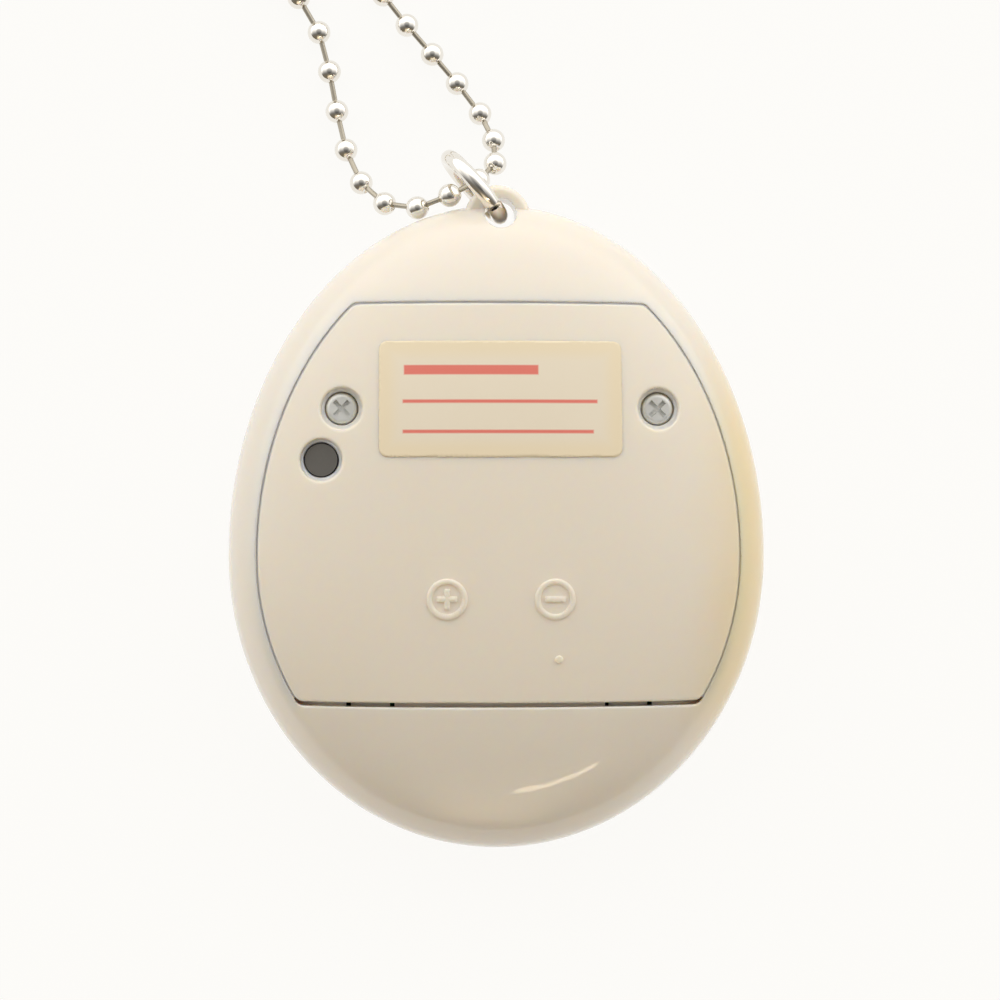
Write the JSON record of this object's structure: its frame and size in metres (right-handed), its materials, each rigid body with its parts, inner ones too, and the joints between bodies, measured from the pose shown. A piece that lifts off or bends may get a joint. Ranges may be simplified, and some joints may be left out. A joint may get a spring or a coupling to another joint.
{
  "type": "virtual pet keychain",
  "caption": "Egg-shaped pocket electronic toy with a screwed battery cover on its back, a framed screen and press buttons on its front, and a ball chain on its lug.",
  "frame": {"origin": "on the surface it lies on, under the middle of the box round the case and the jump ring, without the ball chain", "axes": "+Z out of the back, with the battery cover up; +Y towards the lug and the ring; +X to the right seen from the back"},
  "size_m": [0.0489, 0.0906, 0.0156],
  "materials": {
    "shell_plastic": "glossy ivory white moulded plastic",
    "cover_plastic": "semi-gloss ivory white moulded plastic",
    "label_paper": "cream sticker with plain coral ruled lines, no text",
    "screw_zinc": "zinc plated steel",
    "reset_rubber": "matt dark grey rubber",
    "keypad_rubber": "translucent pale silicone",
    "button_rubber": "matt coral silicone",
    "frame_plastic": "glossy coral moulded plastic",
    "window_clear": "clear acrylic",
    "display_glass": "grey-green reflective display glass",
    "holder_plastic": "white moulded plastic",
    "strip_rubber": "pink zebra strip rubber",
    "board_green": "green solder mask on glass fibre",
    "epoxy_black": "black epoxy",
    "can_metal": "drawn metal can",
    "capacitor_ceramic": "brown ceramic",
    "switch_metal": "stamped steel",
    "buzzer_brass": "brass plate with ceramic disc",
    "lead_copper": "bare tinned copper wire",
    "cell_steel": "nickel plated steel can",
    "contact_steel": "nickel plated spring steel",
    "chain_nickel": "bright nickel plate"
  },
  "bodies": {
    "case": {"rear_shell": "shell_plastic", "front_shell": "shell_plastic", "keypad_mat": "keypad_rubber", "screen_frame": "frame_plastic", "screen_window": "window_clear", "display_glass": "display_glass", "display_holder": "holder_plastic", "contact_strips": "strip_rubber", "circuit_board": "board_green", "chip_blob": "epoxy_black", "crystal": "can_metal", "board_capacitors": "capacitor_ceramic", "reset_switch": "switch_metal", "buzzer_disc": "buzzer_brass", "buzzer_leads": "lead_copper", "battery_left": "cell_steel", "battery_right": "cell_steel", "contact_left": "contact_steel", "contact_right": "contact_steel", "case_screws": "screw_zinc", "board_screws": "screw_zinc"},
    "cover": {"battery_cover": "cover_plastic", "blank_label": "label_paper", "contact_bridge": "contact_steel"},
    "left_screw": {"cover_screw_left": "screw_zinc"},
    "right_screw": {"cover_screw_right": "screw_zinc"},
    "reset": {"reset_button": "reset_rubber"},
    "left_button": {"button_left": "button_rubber"},
    "middle_button": {"button_middle": "button_rubber"},
    "right_button": {"button_right": "button_rubber"},
    "ring": {"jump_ring": "chain_nickel", "ball_chain": "chain_nickel", "chain_connector": "chain_nickel"}
  },
  "joints": [
    {"name": "cover_tilt", "type": "hinge", "parent": "case", "child": "cover", "pos_m": [0, -0.01603, 0.0139], "axis": [1, 0, 0], "range_deg": [0, 16]},
    {"name": "left_screw_out", "type": "slide", "parent": "case", "child": "left_screw", "axis": [0, 0, 1], "range_m": [0, 0.01262]},
    {"name": "right_screw_out", "type": "slide", "parent": "case", "child": "right_screw", "axis": [0, 0, 1], "range_m": [0, 0.01262]},
    {"name": "reset_press", "type": "slide", "parent": "case", "child": "reset", "axis": [0, 0, -1], "range_m": [0, 0.0004], "stiffness_N_per_m": 1500},
    {"name": "left_button_press", "type": "slide", "parent": "case", "child": "left_button", "axis": [0, 0, 1], "range_m": [0, 0.0008], "stiffness_N_per_m": 1500},
    {"name": "middle_button_press", "type": "slide", "parent": "case", "child": "middle_button", "axis": [0, 0, 1], "range_m": [0, 0.0008], "stiffness_N_per_m": 1500},
    {"name": "right_button_press", "type": "slide", "parent": "case", "child": "right_button", "axis": [0, 0, 1], "range_m": [0, 0.0008], "stiffness_N_per_m": 1500},
    {"name": "ring_swing", "type": "hinge", "parent": "case", "child": "ring", "pos_m": [0.0002, 0.02218, 0.0075], "axis": [0, 0, 1], "range_deg": [-85, 2]}
  ],
  "couplings": [
    {"joint": "left_screw_out", "follows": "cover_tilt", "m_per_rad": 0.045},
    {"joint": "right_screw_out", "follows": "cover_tilt", "m_per_rad": 0.045}
  ]
}
